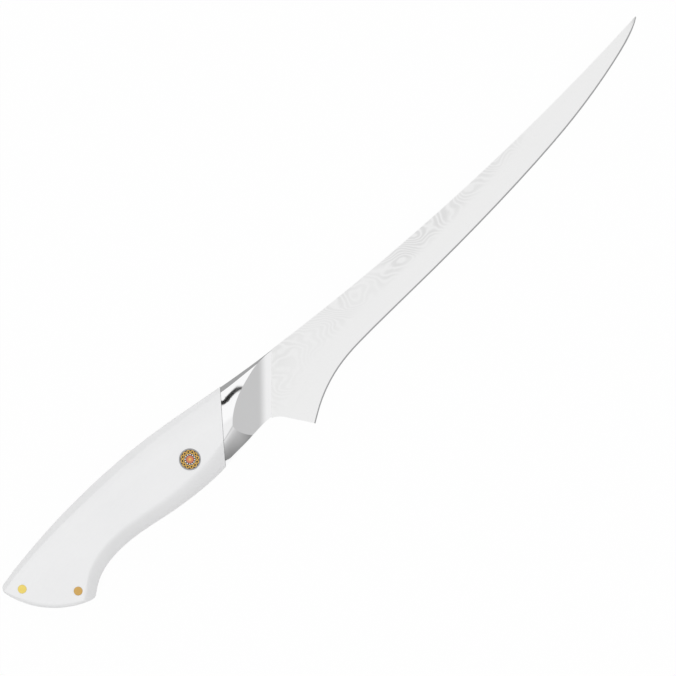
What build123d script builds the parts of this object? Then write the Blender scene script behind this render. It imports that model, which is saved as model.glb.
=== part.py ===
from build123d import *
import math
import os

# A fillet knife that lies on its left side. Its pieces are the laminated blade, the bolster welded behind it,
# the full tang, two handle scales bonded to the tang, one mosaic pin and two brass butt pins.
# X runs from the butt to the tip, Y from the cutting edge to the spine and Z from the left side to the right.
# While the pieces are made, the bolster's back face crosses the X axis at zero, and Z is zero in the middle
# of the blade. The finished knife is then set down with the middle of its footprint at the origin.

# Handle and bolster, seen from the side
HANDLE_LENGTH = 101.5
BOLSTER_LENGTH = 24.1
SPINE_HEIGHT = 15.4
BELLY_DEPTH = 13.2
HANDLE_THICKNESS = 19.2
JOINT_SLANT = 38.4
WELD_SLANT = 42.2
BUTT_RADIUS = 33.4
BUTT_ROUNDING = 1.8
BUTT_CORNER_RADIUS = 2.8
CROWN_SLOPE = 0.05

# Blade
BLADE_LENGTH = 188.0
HEEL_LEAD = 0.7
HEEL_DEPTH = 23.1
EDGE_DEPTH = 11.9
TIP_HEIGHT = 8.5
TIP_WIDTH = 0.4
SPINE_SAG = 4.2
SPINE_THICKNESS = 2.0
TIP_THICKNESS = 0.8
SHOULDER_THICKNESS = 0.3
EDGE_THICKNESS = 0.04
BEVEL_HEIGHT = 0.6
CORE_THICKNESS = 0.84
CHOIL_RADIUS = 8.5
PLUNGE_RADIUS = 11.0
PLUNGE_LEAN = 42.0

# Tang, and its bond to the scales and the bolster
TANG_THICKNESS = 3.0
BOND_THICKNESS = 0.15
JOINT_GAP = 0.14
TENON_LENGTH = 7.0
TENON_WIDTH = 12.0
TENON_CLEARANCE = 0.05
RELIEF_LENGTH = 17.0
RELIEF_WIDTH = 7.0
RELIEF_LEAN = 8.0

# Pins
MOSAIC_DIAMETER = 8.0
MOSAIC_WALL = 0.45
BUTT_PIN_DIAMETER = 3.2
PIN_CLEARANCE = 0.04
RING_COUNT = 12
RING_PITCH_RADIUS = 2.78
RING_TUBE_DIAMETER = 1.36
RING_TUBE_BORE = 0.76
ROD_PITCH_RADIUS = 1.78
ROD_DIAMETER = 0.50
CENTRE_TUBE_DIAMETER = 2.7
CENTRE_ROD_DIAMETER = 1.2
FILL_CLEARANCE = 0.02

# One overrun serves every cut that has to pass right through a piece
OVERRUN = 40.0

# Sections of the handle and bolster, from behind the butt to ahead of the weld. Columns: place along X, as a
# share of the handle's length behind the joint or of the bolster's length ahead of it; spine height as a
# share of SPINE_HEIGHT; belly depth as a share of BELLY_DEPTH; then, as shares of half the handle's
# thickness, the half thickness, the drop and half width at the lower edge of the spine's facets, the height
# of the shoulder, the height of the belly's rounding, and the rise and half width of the underside; then the
# slope of the facets, how roundly the belly bends, the crease below the facets in degrees, and in degrees
# the belly's lean where it meets the underside.
GRIP_SHARES = (
    (-1.110, 0.390, 2.650, 1.012, 0.180, 0.920, 0.30, 0.55, 0.22, 0.660, 1.50, 0.36, 28.0, 56.0),
    (-0.985, 0.655, 2.230, 1.012, 0.190, 0.920, 0.30, 0.55, 0.22, 0.660, 1.50, 0.36, 28.0, 56.0),
    (-0.890, 0.775, 1.820, 1.012, 0.200, 0.915, 0.31, 0.55, 0.22, 0.660, 1.50, 0.36, 28.0, 56.0),
    (-0.828, 0.834, 1.535, 1.012, 0.215, 0.910, 0.32, 0.55, 0.22, 0.660, 1.50, 0.36, 28.0, 56.0),
    (-0.768, 0.883, 1.228, 1.012, 0.235, 0.905, 0.33, 0.55, 0.22, 0.660, 1.50, 0.36, 28.0, 56.0),
    (-0.728, 0.911, 0.995, 1.012, 0.250, 0.900, 0.34, 0.55, 0.22, 0.660, 1.50, 0.36, 27.0, 56.0),
    (-0.680, 0.940, 0.823, 1.012, 0.265, 0.890, 0.36, 0.55, 0.22, 0.660, 1.50, 0.36, 26.0, 56.0),
    (-0.625, 0.965, 0.728, 1.012, 0.285, 0.880, 0.39, 0.56, 0.22, 0.660, 1.49, 0.36, 25.0, 56.0),
    (-0.560, 0.985, 0.700, 1.012, 0.300, 0.865, 0.43, 0.57, 0.22, 0.655, 1.47, 0.36, 24.0, 56.0),
    (-0.470, 0.998, 0.757, 1.012, 0.300, 0.835, 0.50, 0.60, 0.21, 0.650, 1.42, 0.36, 22.0, 56.0),
    (-0.360, 0.987, 0.890, 1.012, 0.285, 0.785, 0.60, 0.63, 0.20, 0.640, 1.30, 0.34, 18.0, 55.0),
    (-0.240, 0.938, 0.985, 1.012, 0.258, 0.715, 0.74, 0.66, 0.17, 0.610, 1.16, 0.28, 14.0, 53.0),
    (-0.120, 0.850, 0.992, 1.012, 0.230, 0.645, 0.92, 0.70, 0.13, 0.550, 1.04, 0.21, 11.0, 48.0),
    (-0.030, 0.770, 0.925, 1.004, 0.208, 0.590, 1.06, 0.80, 0.08, 0.450, 0.95, 0.17, 10.0, 43.0),
    (0.150, 0.712, 0.880, 0.985, 0.203, 0.570, 1.06, 0.95, 0.06, 0.330, 0.93, 0.15, 10.0, 42.0),
    (0.330, 0.672, 0.828, 0.960, 0.197, 0.550, 0.95, 1.00, 0.05, 0.200, 0.93, 0.15, 10.0, 42.0),
    (0.540, 0.628, 0.800, 0.895, 0.172, 0.480, 0.82, 1.05, 0.04, 0.100, 0.93, 0.15, 10.0, 42.0),
    (0.780, 0.582, 0.860, 0.780, 0.130, 0.345, 0.74, 1.07, 0.03, 0.080, 0.93, 0.15, 9.0, 42.0),
    (1.040, 0.537, 0.920, 0.600, 0.098, 0.205, 0.68, 1.02, 0.02, 0.070, 0.93, 0.15, 8.0, 42.0),
    (1.420, 0.476, 1.000, 0.300, 0.030, 0.120, 0.64, 0.94, 0.02, 0.070, 0.93, 0.15, 4.0, 42.0),
)
# Drop of the spine's crowned land, as a share of the drop down to the facets' lower edge
LAND_DROP_SHARE = 0.12
# How far the shoulder's curve runs on before it bends, at its upper and its lower end
SHOULDER_OUT_SHARE = 0.32
SHOULDER_DOWN_SHARE = 0.24

# Sections of the blade, from behind the weld to the tip. Columns: place along X as a share of the way from
# the weld to the tip; share of the heel's extra depth; share of the edge's sweep up to the tip.
BLADE_SHARES = (
    (-0.110, 2.000, 0.000),
    (-0.022, 1.250, 0.000),
    (0.031, 0.722, 0.000),
    (0.063, 0.444, 0.000),
    (0.100, 0.220, 0.000),
    (0.143, 0.072, 0.000),
    (0.190, 0.010, 0.003),
    (0.270, 0.000, 0.029),
    (0.376, 0.000, 0.064),
    (0.482, 0.000, 0.114),
    (0.588, 0.000, 0.186),
    (0.694, 0.000, 0.284),
    (0.784, 0.000, 0.402),
    (0.858, 0.000, 0.540),
    (0.921, 0.000, 0.690),
    (0.969, 0.000, 0.840),
    (1.000, 0.000, 1.000),
)
# Height of the spine where the weld meets it, as a share of SPINE_HEIGHT
WELD_SPINE_SHARE = 0.506

# Corner that the choil rounds, as shares of BOLSTER_LENGTH and BELLY_DEPTH, and the depth of the neck's
# underside at the bolster's back face, as a share of BELLY_DEPTH
NECK_CORNER_SHARES = (0.628, 0.735)
NECK_START_SHARE = 0.915

# The butt's corners, a point just outside the belly ahead of its corner, the pins and the relief slots lie at
# shares of HANDLE_LENGTH behind the joint, and of SPINE_HEIGHT above or BELLY_DEPTH below the axis.
BUTT_SPINE_SHARES = (1.004, 0.636)
BUTT_BELLY_SHARES = (0.770, -1.235)
BESIDE_BELLY_SHARES = (0.714, -0.970)
SPINE_RISE_SHARE = 0.190
MOSAIC_PIN_SHARES = (0.177, -0.150)
BUTT_PIN_SPINE_SHARES = (0.941, 0.270)
BUTT_PIN_BELLY_SHARES = (0.796, -0.770)
RELIEF_SHARES = ((0.355, 0.050), (0.585, 0.190))

half_handle = HANDLE_THICKNESS / 2
half_tang = TANG_THICKNESS / 2
half_bond = half_tang + BOND_THICKNESS
weld_x = BOLSTER_LENGTH
heel_x = weld_x + HEEL_LEAD
tip_x = heel_x + BLADE_LENGTH
weld_spine = SPINE_HEIGHT * WELD_SPINE_SHARE
neck_corner = (BOLSTER_LENGTH * NECK_CORNER_SHARES[0], -BELLY_DEPTH * NECK_CORNER_SHARES[1])


def handle_point(shares):
    """A place on the handle's side, from its shares of the handle's length and of its height or depth."""
    back, up = shares
    return (-HANDLE_LENGTH * back, (SPINE_HEIGHT if up > 0 else BELLY_DEPTH) * up)


def section_plane(x):
    """Plane square to the knife's length, with its own X towards the spine and its Y towards the right."""
    return Plane(origin=(x, 0, 0), x_dir=(0, 1, 0), z_dir=(1, 0, 0))


def cap(level, middle, half_width):
    """Shallow arch across the section, between equal levels on both sides of a middle height."""
    return Bezier((level, -half_width), (2 * middle - level, 0), (level, half_width))


def grip_section(row):
    """Closed outline across the grip: a spine land, facets, shoulders, crowned sides, belly and underside."""
    along, spine_share, belly_share = row[:3]
    side, drop, width, shoulder, rounding, foot_rise, foot = [half_handle * share for share in row[3:10]]
    slope, bend_share = row[10:12]
    crease, lean = [math.radians(angle) for angle in row[12:]]
    x = along * (BOLSTER_LENGTH if along > 0 else HANDLE_LENGTH)
    spine = SPINE_HEIGHT * spine_share
    belly = -BELLY_DEPTH * belly_share
    ridge = spine - drop
    flat_top = ridge - shoulder
    flat_foot = belly + rounding
    foot_level = belly + foot_rise
    rim = side - CROWN_SLOPE * (flat_top - flat_foot) / 4
    land_edge = spine - drop * LAND_DROP_SHARE
    land = width - (land_edge - ridge) * slope
    fold = math.atan2(1, slope) + crease
    out = (side - width + shoulder) * SHOULDER_OUT_SHARE
    down = shoulder * SHOULDER_DOWN_SHARE
    under = (flat_foot - foot_level) * bend_share
    lift = (flat_foot - foot_level + side - foot) * bend_share

    def facet(sign):
        return Line((land_edge, sign * land), (ridge, sign * width))

    def shoulder_curve(sign):
        bend = (ridge - out * math.sin(fold), sign * (width + out * math.cos(fold)))
        settle = (flat_top + down, sign * (rim - down * CROWN_SLOPE))
        return Bezier((ridge, sign * width), bend, settle, (flat_top, sign * rim))

    def crown(sign):
        middle = ((flat_top + flat_foot) / 2, sign * (2 * side - rim))
        return Bezier((flat_top, sign * rim), middle, (flat_foot, sign * rim))

    def belly_curve(sign):
        bend = (flat_foot - under, sign * (rim - under * CROWN_SLOPE))
        settle = (foot_level + lift * math.cos(lean), sign * (foot + lift * math.sin(lean)))
        return Bezier((flat_foot, sign * rim), bend, settle, (foot_level, sign * foot))

    right = [facet(1), shoulder_curve(1), crown(1), belly_curve(1)]
    left = [belly_curve(-1), crown(-1), shoulder_curve(-1), facet(-1)]
    runs = [cap(land_edge, spine, land)] + right + [cap(foot_level, belly, foot)] + left
    return section_plane(x) * Face(Wire([run.edge() for run in runs]))


def slanted_block(x, slant, ahead):
    """Large block that ends at an upright plane, which crosses the X axis at x and leans by slant."""
    side = OVERRUN if ahead else -OVERRUN
    height = 2 * OVERRUN
    rise = math.tan(math.radians(slant)) * height
    length = (tip_x + HANDLE_LENGTH) * (1 if ahead else -1) + side
    near = [(x - rise, -height), (x + rise, height)]
    corners = near + [(x + rise + length, height), (x - rise + length, -height)]
    return extrude(Face(Wire(Polyline(corners, close=True).edges())), OVERRUN, both=True)


def grip_bounds():
    """Slab as thick as the handle whose back end is the butt: an arc with round corners and a round rim."""
    spine_corner = handle_point(BUTT_SPINE_SHARES)
    belly_corner = handle_point(BUTT_BELLY_SHARES)
    beside_belly = handle_point(BESIDE_BELLY_SHARES)
    above = (spine_corner[0] + 2 * OVERRUN, spine_corner[1] + 2 * OVERRUN * SPINE_RISE_SHARE)
    front = HANDLE_LENGTH
    ahead = [(front, -2 * OVERRUN), (front, OVERRUN)]
    outline = Polyline(belly_corner, beside_belly, *ahead, above, spine_corner).edges()
    outline += [RadiusArc(spine_corner, belly_corner, -BUTT_RADIUS).edge()]
    face = Face(Wire(outline))
    ends = (spine_corner, belly_corner)
    near = [min(distance(vertex, end) for end in ends) < FILL_CLEARANCE for vertex in face.vertices()]
    corners = [vertex for vertex, is_near in zip(face.vertices(), near) if is_near]
    face = fillet(corners, BUTT_CORNER_RADIUS)
    slab = extrude(face, half_handle, both=True)
    rim = [edge for edge in slab.edges() if edge.geom_type == GeomType.CIRCLE]
    return fillet(rim, BUTT_ROUNDING)


def distance(vertex, place):
    """Distance in plan between a vertex and a place."""
    return math.hypot(vertex.X - place[0], vertex.Y - place[1])


def neck_cut():
    """What the neck's straight underside and the choil take off the bolster and the blade."""
    start = (0, -BELLY_DEPTH * NECK_START_SHARE)
    heel = (heel_x, -HEEL_DEPTH)
    slope = (neck_corner[1] - start[1]) / neck_corner[0]
    fall = (heel[1] - neck_corner[1]) / (heel[0] - neck_corner[0])
    behind = (-OVERRUN, start[1] - slope * OVERRUN)
    beyond = (heel[0] + OVERRUN, heel[1] + fall * OVERRUN)
    foot = (-OVERRUN, beyond[1])
    outline = FilletPolyline(behind, neck_corner, beyond, radius=CHOIL_RADIUS).edges()
    outline += Polyline(beyond, foot, behind).edges()
    return extrude(Face(Wire(outline)), OVERRUN, both=True)


def grip_body():
    """Handle and bolster as one shape, which every piece of both is cut from, so that all lie flush."""
    return loft([grip_section(row) for row in GRIP_SHARES]) & grip_bounds()


def spine_at(x):
    """Height of the blade's spine, a shallow arc from the weld up to the tip."""
    start = weld_x + weld_spine * math.tan(math.radians(WELD_SLANT))
    share = (x - start) / (tip_x - start)
    return weld_spine + (TIP_HEIGHT - weld_spine) * share - 4 * SPINE_SAG * share * (1 - share)


def blade_section(row):
    """Closed outline across the blade: spine, two ground faces and the two bevels of the edge."""
    along, heel_share, sweep_share = row
    x = weld_x + along * (tip_x - weld_x)
    spine = spine_at(x)
    sweep = (TIP_HEIGHT - TIP_WIDTH + EDGE_DEPTH) * sweep_share
    edge = -EDGE_DEPTH - (HEEL_DEPTH - EDGE_DEPTH) * heel_share + sweep
    spine_half = (SPINE_THICKNESS + (TIP_THICKNESS - SPINE_THICKNESS) * max(along, 0)) / 2
    bevel_top = edge + min(BEVEL_HEIGHT, (spine - edge) / 2)
    right = [(edge, EDGE_THICKNESS / 2), (bevel_top, SHOULDER_THICKNESS / 2), (spine, spine_half)]
    left = [(y, -z) for y, z in reversed(right)]
    return section_plane(x) * Face(Wire(Polyline(right + left, close=True).edges()))


def blade_body():
    """The whole blade ahead of the weld, with the choil cut out below the neck."""
    body = loft([blade_section(row) for row in BLADE_SHARES])
    return (body & slanted_block(weld_x, WELD_SLANT, True)) - neck_cut()


def face_half(x, y):
    """Half the blade's thickness at a place near the weld, on the straight wedge between spine and edge."""
    share = (x - weld_x) / (tip_x - weld_x)
    before = max(row for row in BLADE_SHARES if row[0] <= share)
    after = min(row for row in BLADE_SHARES if row[0] > share)
    part = (share - before[0]) / (after[0] - before[0])
    heel_share = before[1] + (after[1] - before[1]) * part
    shoulder = BEVEL_HEIGHT - EDGE_DEPTH - (HEEL_DEPTH - EDGE_DEPTH) * heel_share
    spine_half = (SPINE_THICKNESS + (TIP_THICKNESS - SPINE_THICKNESS) * max(share, 0)) / 2
    rise = (y - shoulder) / (spine_at(x) - shoulder)
    return SHOULDER_THICKNESS / 2 + (spine_half - SHOULDER_THICKNESS / 2) * rise


def plunge_cut(side):
    """What is ground off one side of the bolster: a flat that rounds into the blade's face along the weld."""
    lean = math.tan(math.radians(WELD_SLANT))
    top = (weld_x + weld_spine * lean, weld_spine)
    foot = (weld_x + neck_corner[1] * lean, neck_corner[1])
    low = Vector(*foot, face_half(*foot) * side)
    high = Vector(*top, face_half(*top) * side)
    along = (high - low).normalized()
    across = Vector(math.cos(math.radians(WELD_SLANT)), -math.sin(math.radians(WELD_SLANT)), 0)
    along = along if along.cross(across).Z * side > 0 else along * -1
    slope = math.radians(PLUNGE_LEAN)
    knee = (-PLUNGE_RADIUS * math.tan(slope / 2), 0)
    end = (knee[0] - 2 * OVERRUN * math.cos(slope), 2 * OVERRUN * math.sin(slope))
    outline = FilletPolyline((OVERRUN, 0), knee, end, radius=PLUNGE_RADIUS).edges()
    outline += Polyline(end, (OVERRUN, end[1]), (OVERRUN, 0)).edges()
    plane = Plane(origin=(low + high) * 0.5, x_dir=across, z_dir=along)
    return plane * extrude(Face(Wire(outline)), 2 * OVERRUN, both=True)


def tang_tenon(clearance):
    """Tenon on the tang's front, or with a clearance the slot for it in the bolster's back."""
    length = TENON_LENGTH + clearance
    back = TENON_LENGTH
    block = Box(length + back, TENON_WIDTH + 2 * clearance, TANG_THICKNESS + 2 * clearance)
    place = Location((0, 0, 0), (0, 0, -JOINT_SLANT)) * Pos((length - back) / 2, 0, 0)
    return place * block


def pin_places():
    """Name, place and diameter of each pin through the handle."""
    return (
        ("mosaic_pin", handle_point(MOSAIC_PIN_SHARES), MOSAIC_DIAMETER),
        ("butt_pin_spine", handle_point(BUTT_PIN_SPINE_SHARES), BUTT_PIN_DIAMETER),
        ("butt_pin_belly", handle_point(BUTT_PIN_BELLY_SHARES), BUTT_PIN_DIAMETER),
    )


def pin_rod(place, diameter):
    """A round rod right through the handle, as long as the handle is thick."""
    return Pos(*place, 0) * Cylinder(diameter / 2, HANDLE_THICKNESS)


def pin_holes():
    """Holes for the pins, each a clearance wider than its pin."""
    return [pin_rod(place, diameter + 2 * PIN_CLEARANCE) for _, place, diameter in pin_places()]


def relief_slots(inset):
    """Slots through the tang that save weight and key the bond, or the bond's plugs with an inset."""
    slots = []
    for shares in RELIEF_SHARES:
        outline = SlotOverall(RELIEF_LENGTH - 2 * inset, RELIEF_WIDTH - 2 * inset, rotation=RELIEF_LEAN)
        slots.append(Pos(*handle_point(shares), 0) * extrude(outline, half_tang, both=True))
    return slots


def layer(low, high):
    """Block that keeps what lies between two heights."""
    return Pos(0, 0, (low + high) / 2) * Box(3 * tip_x, 4 * OVERRUN, high - low)


def blade_pieces():
    """Hard core and the two softer patterned claddings that are forged onto it."""
    body = blade_body()
    half_core = CORE_THICKNESS / 2
    return {
        "blade_core": body & layer(-half_core, half_core),
        "blade_cladding_right": body & layer(half_core, OVERRUN),
        "blade_cladding_left": body & layer(-OVERRUN, -half_core),
    }


def bolster(grip):
    """Solid steel bolster with a hollow on each side, a straight neck and a slot for the tang's tenon."""
    body = grip & slanted_block(0, JOINT_SLANT, True)
    body = body & slanted_block(weld_x, WELD_SLANT, False)
    body = body - neck_cut()
    for side in (1, -1):
        body = body - plunge_cut(side)
    return body - tang_tenon(TENON_CLEARANCE)


def handle_pieces(grip):
    """Tang, its bond and the two scales, all cut from the part of the grip behind the joint."""
    body = grip & slanted_block(-JOINT_GAP, JOINT_SLANT, False)
    holes = pin_holes()
    slots = relief_slots(0)
    plugs = relief_slots(FILL_CLEARANCE)
    tang = (body & layer(-half_tang, half_tang)) + tang_tenon(0)
    films = [body & layer(half_tang, half_bond), body & layer(-half_bond, -half_tang)]
    bond = films[0] + plugs + films[1]
    return {
        "tang": tang - holes - slots,
        "epoxy_bond": bond - holes,
        "handle_scale_right": (body & layer(half_bond, OVERRUN)) - holes,
        "handle_scale_left": (body & layer(-OVERRUN, -half_bond)) - holes,
    }


def ring_places(radius, offset):
    """Places evenly round the mosaic pin's centre, the first turned by an offset in degrees."""
    x, y = handle_point(MOSAIC_PIN_SHARES)
    turns = [math.radians(offset + 360 * i / RING_COUNT) for i in range(RING_COUNT)]
    return [(x + radius * math.cos(turn), y + radius * math.sin(turn)) for turn in turns]


def mosaic_pieces():
    """Tubes and rods of the mosaic pin, and the resin that sets them inside its outer tube."""
    centre = handle_point(MOSAIC_PIN_SHARES)
    bore = MOSAIC_DIAMETER - 2 * MOSAIC_WALL
    ring = ring_places(RING_PITCH_RADIUS, 0)
    between = ring_places(ROD_PITCH_RADIUS, 180 / RING_COUNT)
    gap = 2 * FILL_CLEARANCE
    resin = pin_rod(centre, bore - gap) - pin_rod(centre, CENTRE_TUBE_DIAMETER + gap)
    resin = resin - [pin_rod(place, RING_TUBE_DIAMETER + gap) for place in ring]
    resin = resin - [pin_rod(place, ROD_DIAMETER + gap) for place in between]
    tubes = [pin_rod(place, RING_TUBE_DIAMETER) - pin_rod(place, RING_TUBE_BORE) for place in ring]
    centre_tube = pin_rod(centre, CENTRE_TUBE_DIAMETER) - pin_rod(centre, CENTRE_ROD_DIAMETER)
    return {
        "mosaic_pin_tube": pin_rod(centre, MOSAIC_DIAMETER) - pin_rod(centre, bore),
        "mosaic_pin_ring_tubes": Compound(tubes),
        "mosaic_pin_ring_cores": Compound([pin_rod(place, RING_TUBE_BORE - gap) for place in ring]),
        "mosaic_pin_small_rods": Compound([pin_rod(place, ROD_DIAMETER) for place in between]),
        "mosaic_pin_centre_tube": centre_tube,
        "mosaic_pin_centre_rod": pin_rod(centre, CENTRE_ROD_DIAMETER - gap),
        "mosaic_pin_resin": resin,
    }


def butt_pins(grip):
    """Two solid brass pins through the butt, ground flush with the scales."""
    return {name: pin_rod(place, diameter) & grip for name, place, diameter in pin_places()[1:]}


def main():
    grip = grip_body()
    pieces = {**blade_pieces(), "bolster": bolster(grip), **handle_pieces(grip)}
    pieces.update({**mosaic_pieces(), **butt_pins(grip)})
    whole = Compound([solid for piece in pieces.values() for solid in piece.solids()]).bounding_box()
    middle = Vector(-(whole.min.X + whole.max.X) / 2, -(whole.min.Y + whole.max.Y) / 2, -whole.min.Z)
    os.makedirs("parts", exist_ok=True)
    for name, piece in pieces.items():
        solids = piece.solids()
        shape = solids[0] if len(solids) == 1 else Compound(solids)
        export_step(Pos(*middle) * shape, f"parts/{name}.step")


main()
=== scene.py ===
import math

import bpy
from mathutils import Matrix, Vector


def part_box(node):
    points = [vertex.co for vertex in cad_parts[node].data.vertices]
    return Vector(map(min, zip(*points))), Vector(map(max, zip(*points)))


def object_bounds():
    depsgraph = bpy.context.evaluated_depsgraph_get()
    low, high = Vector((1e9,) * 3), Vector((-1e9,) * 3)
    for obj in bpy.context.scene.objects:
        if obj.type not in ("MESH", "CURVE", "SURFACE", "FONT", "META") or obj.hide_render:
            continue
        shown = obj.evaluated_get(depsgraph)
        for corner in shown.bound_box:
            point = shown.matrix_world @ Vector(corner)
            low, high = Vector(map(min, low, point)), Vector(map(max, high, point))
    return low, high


# Looks of a fillet knife with a white laminate handle, a polished bolster and a patterned laminated blade.
# Lengths are in metres. The knife lies on its left side, with its tip towards +X and its spine towards +Y.

MM = 0.001

# Camera: straight above, turned so that the knife climbs to the right
IMAGE_SIZE = 676
PIXEL = 0.368 * MM
KNIFE_CLIMB = 42.25
MOSAIC_PIN_PIXEL = (190.4, 459.0)
CAMERA_HEIGHT = 3.0
CAMERA_REACH = 20.0
SENSOR_WIDTH = 36.0

# White laminate: its two whites, and the depth of its grain
LAMINATE_WHITES = ((0.795, 0.797, 0.805), (0.865, 0.865, 0.868))
LAMINATE_DEPTH = 0.02 * MM

# Ground steel: how fine its lines are by axis, their depth, and their colours as shares of the steel's tone
GRIND_GRAIN = (14000, 260, 14000)
GRIND_DEPTH = 0.0015 * MM
LINE_DARK = 0.97
LINE_BRIGHT = 1.02
LINE_BLUE = 1.025

# Blade: its tone and the dark lines' share of it
BLADE_TONE = 0.945
SATIN_DARK = 0.975

# Bevel along the edge: half the thickness at its top, the softness of that border, how far a face looks up or
# down to belong to it, and its two greys
BEVEL_HALF = 0.14 * MM
BEVEL_SOFT = 0.01 * MM
BEVEL_FACING = (0.4, 0.6)
BEVEL_GREYS = ((0.40, 0.40, 0.41), (0.48, 0.48, 0.485))

# Forged pattern: height over the blade's middle where it starts and is full, distance from the tip where
# it ends and is full, distance from the weld where it is faint and full, and its lines' depth and share of
# the blade's tone
PATTERN_RISE = (0.42 * MM, 0.60 * MM)
PATTERN_FROM_TIP = (50 * MM, 78 * MM)
PATTERN_FROM_WELD = (10 * MM, 50 * MM)
ETCH_DEPTH = 0.004 * MM
ETCH_SHARE = 0.885

# Forged layers: radians that the hills, the folds and a metre along or across the blade add to their wave
HILL_LAYERS = 100.0
FOLD_LAYERS = 5.0
LAYERS_ALONG = 1900.0
LAYERS_ACROSS = 700.0
LAYER_SHARPNESS = 1.7

# Floor
FLOOR_SIZE = 6.0
FLOOR_COLOUR = (0.80, 0.80, 0.80)
FLOOR_GLOW_SHARE = 0.975

# Lamp: wide and soft, above the knife, a little towards its belly and butt
LAMP_SIZE = 1.6
LAMP_POWER = 7.8
LAMP_PLACE = (-0.1, -0.45, 1.85)

# Sky: its light low down and overhead, where 1 is white. Borders are pairs of places in a direction of
# length 1, with x towards the tip, y towards the spine and z up.
SKY_LOW = 0.38
SKY_HIGH = 0.90
SKY_HEIGHTS = (0.30, 0.85)

# White panel on the spine's side
PANEL_SPINE = (0.05, 0.35)
PANEL_HEIGHTS = (0.10, 0.28)

# Dark gap, which crosses the polished bolster as a streak: z and slant times x stay near its height
GAP_SLANT = 1.3
GAP_HEIGHT = 0.764
GAP_TAPER = 0.10
GAP_BORDER = (0.049, 0.034)
GAP_SPINE = (0.62, 0.74)
GAP_START = (0.02, 0.08)
GAP_END = (0.300, 0.262)
GAP_DARKNESS = 0.98

# Greyer side at the picture's right
RIGHT_LIGHT = 0.58
RIGHT_BORDER = (0.25, 0.85)
RIGHT_SPINE = (0.3, 0.6)

# Belly's side, whose light grows with height
BELLY_LIGHT = (0.22, 1.42)
BELLY_BORDER = (0.72, 0.88)
BELLY_TIP = (0.35, 0.55)

# Places of the colour sockets on a Mix node, where several sockets share a name
MIX_FIRST = 6
MIX_SECOND = 7
MIX_RESULT = 2


class Value:
    """A socket of a node tree, which Python's own signs add, subtract, multiply and raise."""

    def __init__(self, tree, socket):
        self.tree = tree
        self.socket = socket

    def maths(self, operation, *others, clamp=False):
        """A Math node on this value and the others."""
        settings = {"operation": operation, "use_clamp": clamp}
        return self.tree.node("ShaderNodeMath", settings, [self, *others])

    def __add__(self, other):
        return self.maths("ADD", other)

    def __radd__(self, other):
        return self.maths("ADD", other)

    def __sub__(self, other):
        return self.maths("SUBTRACT", other)

    def __rsub__(self, other):
        return (self * -1) + other

    def __mul__(self, other):
        return self.maths("MULTIPLY", other)

    def __rmul__(self, other):
        return self.maths("MULTIPLY", other)

    def __pow__(self, other):
        return self.maths("POWER", other)

    def ramp(self, low, high):
        """Rises smoothly from 0 at low to 1 at high, or falls where low is the larger."""
        settings = {"interpolation_type": "SMOOTHSTEP"}
        inputs = {"Value": self, "From Min": min(low, high), "From Max": max(low, high)}
        rise = self.tree.node("ShaderNodeMapRange", settings, inputs)
        return rise if low < high else 1 - rise

    def between(self, low, high):
        """Stretches 0 to 1 over low to high."""
        return self * (high - low) + low

    def towards(self, target, share):
        """Moves a share of the way to a target."""
        return self * (1 - share) + share * target

    def wave(self):
        """Sine of the value, brought between 0 and 1."""
        return self.maths("SINE") * 0.5 + 0.5


class Tree:
    """A node tree and the one way that its nodes are added."""

    def __init__(self, node_tree):
        self.nodes = node_tree.nodes
        self.links = node_tree.links

    def node(self, kind, settings=None, inputs=(), output=0):
        """Adds a node, sets it up and returns one of its outputs as a value."""
        made = self.nodes.new(kind)
        for name, setting in (settings or {}).items():
            setattr(made, name, setting)
        pairs = inputs.items() if isinstance(inputs, dict) else enumerate(inputs)
        for key, given in pairs:
            if isinstance(given, Value):
                self.links.new(given.socket, made.inputs[key])
            else:
                made.inputs[key].default_value = given
        return Value(self, made.outputs[output])

    def noise(self, scale, place=None, detail=2.0, roughness=0.5):
        """Cloudy noise over the object's own coordinates, or over a stretched place."""
        inputs = {"Vector": place or self.place(), "Scale": scale, "Detail": detail, "Roughness": roughness}
        return self.node("ShaderNodeTexNoise", {}, inputs, "Fac")

    def place(self, stretch=(1, 1, 1), turn=0.0):
        """Object coordinates in metres, turned about Z by degrees and then scaled."""
        where = self.node("ShaderNodeTexCoord", {}, (), "Object")
        settings = {"vector_type": "TEXTURE"}
        inputs = {"Vector": where, "Rotation": (0, 0, math.radians(turn)), "Scale": [1 / s for s in stretch]}
        return self.node("ShaderNodeMapping", settings, inputs)

    def parts(self, vector):
        """The three numbers of a vector."""
        return [self.node("ShaderNodeSeparateXYZ", {}, [vector], axis) for axis in "XYZ"]

    def mix_colours(self, factor, first, second):
        """A colour between two, by a factor."""
        first, second = [colour if isinstance(colour, Value) else (*colour, 1) for colour in (first, second)]
        inputs = {"Factor": factor, MIX_FIRST: first, MIX_SECOND: second}
        return self.node("ShaderNodeMix", {"data_type": "RGBA"}, inputs, MIX_RESULT)

    def bump(self, height, distance, strength=1.0):
        """Normal raised by a height field whose full step is a distance in metres."""
        inputs = {"Strength": strength, "Distance": distance, "Height": height}
        return self.node("ShaderNodeBump", {}, inputs)


def new_material(name):
    """A material, its tree and its main shader's node."""
    material = bpy.data.materials.new(name)
    material.use_nodes = True
    tree = Tree(material.node_tree)
    return material, tree, tree.nodes["Principled BSDF"]


def set_sockets(tree, node, **inputs):
    """Sets or links sockets of a node that is already there. Their names are given with underscores."""
    for key, given in inputs.items():
        socket = node.inputs[key.replace("_", " ")]
        if isinstance(given, Value):
            tree.links.new(given.socket, socket)
        elif isinstance(given, tuple):
            socket.default_value = (*given, 1)
        else:
            socket.default_value = given


def grey(tone):
    """A colour with no tint."""
    return (tone, tone, tone)


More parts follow.
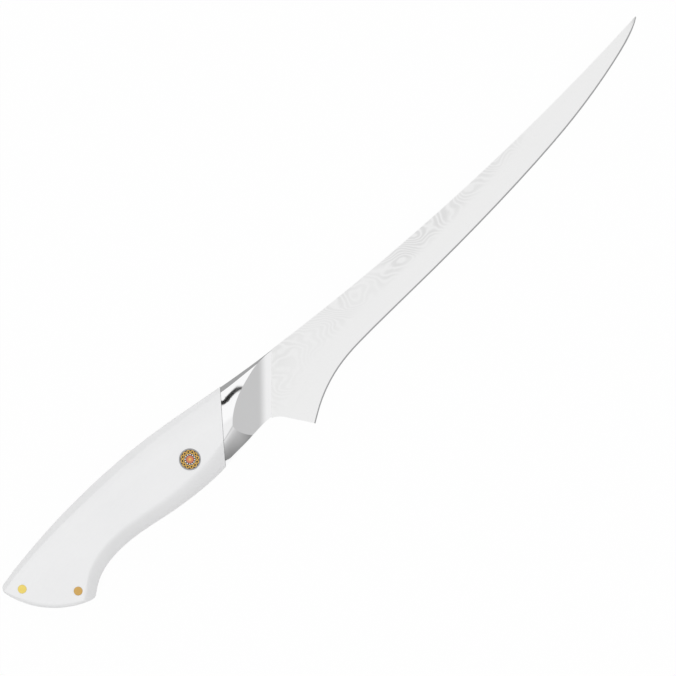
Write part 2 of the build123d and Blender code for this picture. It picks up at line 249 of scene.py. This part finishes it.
def grinding_lines(tree, turn=0.0):
    """The fine cross lines that grinding leaves, turned by degrees."""
    return tree.noise(scale=1.0, place=tree.place(GRIND_GRAIN, turn), detail=3.0)


def blade_satin(tree, lines):
    """The blade's own colour, which its grinding lines vary."""
    return tree.mix_colours(lines, grey(BLADE_TONE * SATIN_DARK), grey(BLADE_TONE * LINE_BRIGHT))


def white_laminate():
    """White glass-fibre laminate, satin, with faint layers and a fine grain."""
    material, tree, shader = new_material("white_laminate")
    cloud = tree.noise(scale=60.0, detail=4.0)
    grain = tree.noise(scale=3.0, place=tree.place((900, 900, 900)), detail=3.0)
    fibre = tree.noise(scale=1.0, place=tree.place((350, 2600, 2600), turn=6.0))
    tint = cloud.between(0.25, 0.75) + fibre.between(-0.25, 0.25)
    colour = tree.mix_colours(tint, *LAMINATE_WHITES)
    normal = tree.bump(grain * 0.6 + fibre * 0.4, LAMINATE_DEPTH, strength=0.5)
    set_sockets(tree, shader, Base_Color=colour, Roughness=grain.between(0.34, 0.50), Normal=normal)
    return material


def ground_steel(name, tone, rough, turn):
    """Steel with the fine cross lines that grinding leaves."""
    material, tree, shader = new_material(name)
    lines = grinding_lines(tree, turn)
    cloud = tree.noise(scale=90.0, detail=3.0)
    bright = (tone * LINE_BRIGHT, tone * LINE_BRIGHT, tone * LINE_BLUE)
    colour = tree.mix_colours(lines, grey(tone * LINE_DARK), bright)
    roughness = lines.between(rough - 0.05, rough + 0.05) + cloud.between(-0.03, 0.03)
    normal = tree.bump(lines, GRIND_DEPTH, strength=0.6)
    set_sockets(tree, shader, Base_Color=colour, Metallic=1.0, Roughness=roughness, Normal=normal)
    return material


def core_steel(middle_z):
    """Satin blade steel, with a duller freshly ground bevel along the cutting edge."""
    material, tree, shader = new_material("core_steel")
    _, _, z = tree.parts(tree.node("ShaderNodeTexCoord", {}, (), "Object"))
    _, _, facing = tree.parts(tree.node("ShaderNodeNewGeometry", {}, (), "Normal"))
    height = (z - middle_z).maths("ABSOLUTE")
    by_edge = height.ramp(BEVEL_HALF + BEVEL_SOFT, BEVEL_HALF - BEVEL_SOFT)
    bevel = by_edge * facing.maths("ABSOLUTE").ramp(*BEVEL_FACING)
    lines = grinding_lines(tree)
    cloud = tree.noise(scale=90.0, detail=3.0)
    dull = tree.mix_colours(lines, *BEVEL_GREYS)
    colour = tree.mix_colours(bevel, blade_satin(tree, lines), dull)
    roughness = lines.between(0.25, 0.35) + cloud.between(-0.03, 0.03) + bevel * 0.1
    normal = tree.bump(lines, GRIND_DEPTH, strength=0.6)
    set_sockets(tree, shader, Base_Color=colour, Metallic=1.0, Roughness=roughness, Normal=normal)
    return material


def patterned_steel(middle_z, weld_x, tip_x):
    """Cladding whose forged layers show as thin lines, clearest by the spine and gone before the tip."""
    material, tree, shader = new_material("patterned_steel")
    x, y, z = tree.parts(tree.node("ShaderNodeTexCoord", {}, (), "Object"))
    hills = tree.noise(scale=1.0, place=tree.place((62, 105, 40), turn=-30.0), detail=1.0, roughness=0.4)
    folds = tree.noise(scale=1.0, place=tree.place((260, 380, 200), turn=15.0))
    contour = hills * HILL_LAYERS + folds * FOLD_LAYERS + x * LAYERS_ALONG + y * LAYERS_ACROSS
    layers = contour.wave() ** LAYER_SHARPNESS
    by_spine = (z - middle_z).maths("ABSOLUTE").ramp(*PATTERN_RISE)
    before_tip = x.ramp(*[tip_x - distance for distance in PATTERN_FROM_TIP])
    past_weld = x.ramp(*[weld_x + distance for distance in PATTERN_FROM_WELD])
    patch = tree.noise(scale=1.0, place=tree.place((34, 40, 24)), detail=1.0).ramp(0.34, 0.60)
    strength = by_spine * before_tip * patch.between(0.30, 1.0) * past_weld.between(0.55, 1.0)
    etched = layers * strength + (1 - strength)
    lines = grinding_lines(tree)
    colour = tree.mix_colours(etched, grey(BLADE_TONE * ETCH_SHARE), blade_satin(tree, lines))
    roughness = etched.between(0.42, 0.30) + lines.between(-0.04, 0.04)
    normal = tree.bump(etched + lines * 0.05, ETCH_DEPTH, strength=0.5)
    set_sockets(tree, shader, Base_Color=colour, Metallic=1.0, Roughness=roughness, Normal=normal)
    return material


def polished_steel():
    """Mirror-polished steel with the faintest buffing haze."""
    material, tree, shader = new_material("polished_steel")
    haze = tree.noise(scale=120.0, detail=4.0)
    colour = tree.mix_colours(haze, (0.94, 0.94, 0.945), (0.965, 0.965, 0.97))
    set_sockets(tree, shader, Base_Color=colour, Metallic=1.0, Roughness=haze.between(0.03, 0.06))
    return material


def pin_metal(name, dark, bright, rough):
    """Soft metal of a pin, ground flush and rubbed."""
    material, tree, shader = new_material(name)
    rub = tree.noise(scale=1.0, place=tree.place((900, 5200, 900), turn=30.0), detail=3.0)
    colour = tree.mix_colours(rub, dark, bright)
    set_sockets(tree, shader, Base_Color=colour, Metallic=1.0, Roughness=rub.between(rough, rough + 0.12))
    return material


def set_resin(name, dark, bright, rough):
    """Cast resin or glue, slightly cloudy."""
    material, tree, shader = new_material(name)
    cloud = tree.noise(scale=700.0, detail=3.0)
    colour = tree.mix_colours(cloud, dark, bright)
    set_sockets(tree, shader, Base_Color=colour, Roughness=cloud.between(rough, rough + 0.1))
    return material


def dress(frame):
    """Gives each CAD node its finish."""
    low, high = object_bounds()
    middle_z = (low[2] + high[2]) / 2
    white = white_laminate()
    weld_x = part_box("blade_cladding_right")[0][0]
    cladding = patterned_steel(middle_z, weld_x, high[0])
    brass = pin_metal("tube_brass", (0.76, 0.44, 0.08), (0.96, 0.64, 0.19), 0.28)
    finishes = {
        "blade_core": core_steel(middle_z),
        "blade_cladding_right": cladding,
        "blade_cladding_left": cladding,
        "bolster": polished_steel(),
        "tang": ground_steel("tang_steel", 0.74, 0.32, 90.0),
        "epoxy_bond": set_resin("glue", (0.55, 0.55, 0.53), (0.66, 0.66, 0.64), 0.4),
        "handle_scale_right": white,
        "handle_scale_left": white,
        "mosaic_pin_tube": ground_steel("pin_steel", 0.42, 0.35, 20.0),
        "mosaic_pin_ring_tubes": brass,
        "mosaic_pin_ring_cores": set_resin("dark_resin", (0.015, 0.010, 0.010), (0.04, 0.025, 0.02), 0.3),
        "mosaic_pin_small_rods": ground_steel("rod_steel", 0.92, 0.3, 20.0),
        "mosaic_pin_centre_tube": pin_metal("copper", (0.62, 0.18, 0.10), (0.84, 0.34, 0.20), 0.3),
        "mosaic_pin_centre_rod": brass,
        "mosaic_pin_resin": set_resin("brown_resin", (0.06, 0.025, 0.018), (0.11, 0.045, 0.03), 0.3),
        "butt_pin_spine": pin_metal("yellow_brass", (0.88, 0.62, 0.10), (1.0, 0.86, 0.30), 0.25),
        "butt_pin_belly": pin_metal("tan_brass", (0.62, 0.38, 0.11), (0.82, 0.53, 0.19), 0.35),
    }
    for node, material in finishes.items():
        mesh = frame["nodes"][node].data
        mesh.materials.clear()
        mesh.materials.append(material)


def seen_directly(tree):
    """1 for rays that show the background: from the camera, and through or off metal and glass."""
    kinds = ("Is Camera Ray", "Is Glossy Ray", "Is Transmission Ray")
    rays = [tree.node("ShaderNodeLightPath", {}, (), kind) for kind in kinds]
    return (rays[0] + rays[1]).maths("ADD", rays[2], clamp=True)


def make_floor():
    """Pale floor, white to the eye, that keeps the knife's soft shadow."""
    material, tree, shader = new_material("floor_white")
    tree.nodes.remove(shader)
    paint = tree.node("ShaderNodeBsdfDiffuse", {}, {"Color": (*FLOOR_COLOUR, 1)})
    glow = tree.node("ShaderNodeEmission", {}, {"Color": (1, 1, 1, 1), "Strength": 1.0})
    share = seen_directly(tree) * FLOOR_GLOW_SHARE
    mixed = tree.node("ShaderNodeMixShader", {}, [share, paint, glow])
    set_sockets(tree, tree.nodes["Material Output"], Surface=mixed)
    bpy.ops.mesh.primitive_plane_add(size=FLOOR_SIZE, location=(0, 0, 0))
    floor = bpy.context.object
    floor.name = "floor"
    floor.data.materials.append(material)


def dark_gap(x, y, z):
    """1 in the sky's narrow gap and 0 outside it."""
    from_line = (z + x * GAP_SLANT - GAP_HEIGHT).maths("ABSOLUTE") + x * GAP_TAPER
    return from_line.ramp(*GAP_BORDER) * y.ramp(*GAP_SPINE) * x.ramp(*GAP_START) * x.ramp(*GAP_END)


def make_sky():
    """Soft studio light: bright overhead, greyer low down, and white where the camera sees it directly."""
    world = bpy.data.worlds.new("studio")
    bpy.context.scene.world = world
    world.use_nodes = True
    tree = Tree(world.node_tree)
    x, y, z = tree.parts(tree.node("ShaderNodeTexCoord", {}, (), "Generated"))
    climb = math.radians(KNIFE_CLIMB)
    picture_right = x * math.cos(climb) - y * math.sin(climb)
    light = z.ramp(*SKY_HEIGHTS).between(SKY_LOW, SKY_HIGH)
    light = light.towards(1.0, y.ramp(*PANEL_SPINE) * z.ramp(*PANEL_HEIGHTS))
    light = light * (1 - dark_gap(x, y, z) * GAP_DARKNESS)
    light = light.towards(RIGHT_LIGHT, picture_right.ramp(*RIGHT_BORDER) * (1 - y.ramp(*RIGHT_SPINE)))
    belly_side = (y * -1).ramp(*BELLY_BORDER) * (1 - x.ramp(*BELLY_TIP))
    light = light.towards(z.between(*BELLY_LIGHT), belly_side)
    light = light.towards(1.0, tree.node("ShaderNodeLightPath", {}, (), "Is Camera Ray"))
    set_sockets(tree, tree.nodes["Background"], Color=(1.0, 1.0, 1.0), Strength=light)


def make_lamp():
    """One soft lamp, which the polished steel doesn't mirror."""
    lamp = bpy.data.lights.new("soft_lamp", "AREA")
    lamp.shape = "DISK"
    lamp.size = LAMP_SIZE
    lamp.energy = LAMP_POWER
    holder = bpy.data.objects.new("soft_lamp", lamp)
    holder.location = LAMP_PLACE
    holder.rotation_euler = (Vector((0, 0, 0)) - holder.location).to_track_quat("-Z", "Y").to_euler()
    bpy.context.collection.objects.link(holder)
    holder.visible_glossy = False


def make_camera():
    """Long lens straight above. The mosaic pin lands on its own pixel, and the knife climbs to the right."""
    low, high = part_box("mosaic_pin_tube")
    pin = Vector([(low[i] + high[i]) / 2 for i in range(3)])
    climb = math.radians(KNIFE_CLIMB)
    right = Vector((math.cos(climb), -math.sin(climb), 0))
    up = Vector((math.sin(climb), math.cos(climb), 0))
    across = IMAGE_SIZE / 2 - MOSAIC_PIN_PIXEL[0]
    above = MOSAIC_PIN_PIXEL[1] - IMAGE_SIZE / 2
    centre = pin + right * across * PIXEL + up * above * PIXEL
    data = bpy.data.cameras.new("camera")
    data.sensor_width = SENSOR_WIDTH
    data.lens = SENSOR_WIDTH * CAMERA_HEIGHT / (IMAGE_SIZE * PIXEL)
    data.clip_end = CAMERA_REACH
    camera = bpy.data.objects.new("camera", data)
    camera.location = centre + Vector((0, 0, CAMERA_HEIGHT))
    camera.rotation_euler = (0, 0, -climb)
    bpy.context.collection.objects.link(camera)
    bpy.context.scene.camera = camera


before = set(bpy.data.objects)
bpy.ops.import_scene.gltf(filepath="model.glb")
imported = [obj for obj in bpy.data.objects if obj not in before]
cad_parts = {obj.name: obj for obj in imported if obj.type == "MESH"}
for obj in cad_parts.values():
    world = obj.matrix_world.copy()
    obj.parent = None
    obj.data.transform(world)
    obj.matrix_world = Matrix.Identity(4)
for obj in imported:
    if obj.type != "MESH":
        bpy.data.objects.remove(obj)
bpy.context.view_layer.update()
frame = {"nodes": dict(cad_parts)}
bpy.context.scene.view_settings.view_transform = "Standard"
make_camera()
dress(frame)
make_floor()
make_sky()
make_lamp()
